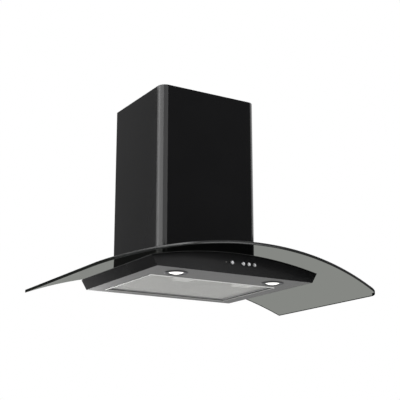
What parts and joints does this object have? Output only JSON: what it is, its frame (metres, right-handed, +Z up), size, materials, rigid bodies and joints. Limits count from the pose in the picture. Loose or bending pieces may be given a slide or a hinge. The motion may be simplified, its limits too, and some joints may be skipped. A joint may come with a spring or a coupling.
{
  "type": "range hood",
  "caption": "Wall-hung kitchen range hood with a curved glass canopy, a telescopic chimney, a drop-down grease filter, push buttons and a ducted fan.",
  "frame": {"origin": "on the wall plane, on the centre line, level with the underside of the body", "axes": "+X to the right as the cook faces the hood, +Y into the wall, +Z up"},
  "size_m": [0.9, 0.559, 0.607],
  "materials": {
    "black_painted_steel": "satin black powder coat",
    "satin_steel": "brushed",
    "smoked_glass": "polished, tinted",
    "black_rubber": "matte",
    "galvanised_steel": "galvanised",
    "zinc_screws": "zinc plated",
    "black_plastic": "moulded",
    "ground_steel": "ground",
    "motor_enamel": "enamelled",
    "sintered_bronze": "sintered",
    "white_plastic": "moulded",
    "capacitor_can": "moulded",
    "satin_metal_caps": "satin",
    "circuit_board": "lacquered laminate",
    "pilot_plastic": "clear, smoked",
    "lamp_rim_metal": "satin",
    "frosted_glass": "frosted",
    "lamp_can_aluminium": "pressed",
    "filter_aluminium": "natural",
    "latch_metal": "satin"
  },
  "bodies": {
    "hood": {"front_panel": "black_painted_steel", "back_panel": "black_painted_steel", "side_panel_left": "black_painted_steel", "side_panel_right": "black_painted_steel", "lower_chimney": "black_painted_steel", "underside_panel": "satin_steel", "glass_canopy": "smoked_glass", "glass_seal": "black_rubber", "rail_pads": "black_rubber", "cover_brackets": "galvanised_steel", "fan_deck": "galvanised_steel", "glass_rail_left": "galvanised_steel", "glass_rail_right": "galvanised_steel", "wall_bracket": "galvanised_steel", "hanging_hook": "galvanised_steel", "fan_box": "galvanised_steel", "motor_bracket": "galvanised_steel", "capacitor_clip": "galvanised_steel", "glass_screws": "zinc_screws", "box_screws": "zinc_screws", "flap_pin": "zinc_screws", "scroll_left_half": "black_plastic", "scroll_right_half": "black_plastic", "outlet_adapter": "black_plastic", "duct_collar": "black_plastic", "junction_box": "black_plastic", "junction_box_lid": "black_plastic", "cable_gland": "black_plastic", "switch_housing": "black_plastic", "motor": "motor_enamel", "motor_bearings": "sintered_bronze", "lamp_driver": "white_plastic", "push_switches": "white_plastic", "capacitor": "capacitor_can", "control_board": "circuit_board", "pilot_lens": "pilot_plastic", "lamp_rim_left": "lamp_rim_metal", "lamp_rim_right": "lamp_rim_metal", "lamp_lens_left": "frosted_glass", "lamp_lens_right": "frosted_glass", "lamp_can_left": "lamp_can_aluminium", "lamp_can_right": "lamp_can_aluminium"},
    "upper_chimney": {"upper_chimney": "black_painted_steel", "ceiling_bracket": "galvanised_steel", "bracket_screws": "zinc_screws"},
    "fan_wheel": {"impeller": "galvanised_steel", "impeller_shaft": "ground_steel"},
    "front_flap": {"front_flap": "black_plastic"},
    "rear_flap": {"rear_flap": "black_plastic"},
    "button_1": {"button_1": "satin_metal_caps"},
    "button_2": {"button_2": "satin_metal_caps"},
    "button_3": {"button_3": "satin_metal_caps"},
    "button_4": {"button_4": "satin_metal_caps"},
    "filter": {"filter_frame": "filter_aluminium", "filter_mesh": "filter_aluminium", "latch_spring_left": "zinc_screws", "latch_spring_right": "zinc_screws"},
    "latch_left": {"filter_latch_left": "latch_metal"},
    "latch_right": {"filter_latch_right": "latch_metal"}
  },
  "joints": [
    {"name": "upper_chimney_slide", "type": "slide", "parent": "hood", "child": "upper_chimney", "axis": [0, 0, 1], "range_m": [0, 0.3]},
    {"name": "fan_wheel_spin", "type": "hinge", "parent": "hood", "child": "fan_wheel", "pos_m": [0, -0.13, 0.15], "axis": [1, 0, 0], "continuous": true},
    {"name": "front_flap_hinge", "type": "hinge", "parent": "hood", "child": "front_flap", "pos_m": [0, -0.165, 0.3535], "axis": [-1, 0, 0], "range_deg": [0, 75]},
    {"name": "rear_flap_hinge", "type": "hinge", "parent": "hood", "child": "rear_flap", "pos_m": [0, -0.165, 0.3535], "axis": [1, 0, 0], "range_deg": [0, 75]},
    {"name": "button_1_press", "type": "slide", "parent": "hood", "child": "button_1", "axis": [0, 1, 0], "range_m": [0, 0.0025], "stiffness_N_per_m": 400, "springref_m": -0.001},
    {"name": "button_2_press", "type": "slide", "parent": "hood", "child": "button_2", "axis": [0, 1, 0], "range_m": [0, 0.0025], "stiffness_N_per_m": 400, "springref_m": -0.001},
    {"name": "button_3_press", "type": "slide", "parent": "hood", "child": "button_3", "axis": [0, 1, 0], "range_m": [0, 0.0025], "stiffness_N_per_m": 400, "springref_m": -0.001},
    {"name": "button_4_press", "type": "slide", "parent": "hood", "child": "button_4", "axis": [0, 1, 0], "range_m": [0, 0.0025], "stiffness_N_per_m": 400, "springref_m": -0.001},
    {"name": "filter_hinge", "type": "hinge", "parent": "hood", "child": "filter", "pos_m": [0, -0.048, 0.0051], "axis": [1, 0, 0], "range_deg": [0, 75]},
    {"name": "latch_left_slide", "type": "slide", "parent": "filter", "child": "latch_left", "axis": [0, 1, 0], "range_m": [0, 0.005], "stiffness_N_per_m": 300, "springref_m": -0.002, "deforming": ["latch_spring_left"]},
    {"name": "latch_right_slide", "type": "slide", "parent": "filter", "child": "latch_right", "axis": [0, 1, 0], "range_m": [0, 0.005], "stiffness_N_per_m": 300, "springref_m": -0.002, "deforming": ["latch_spring_right"]}
  ]
}
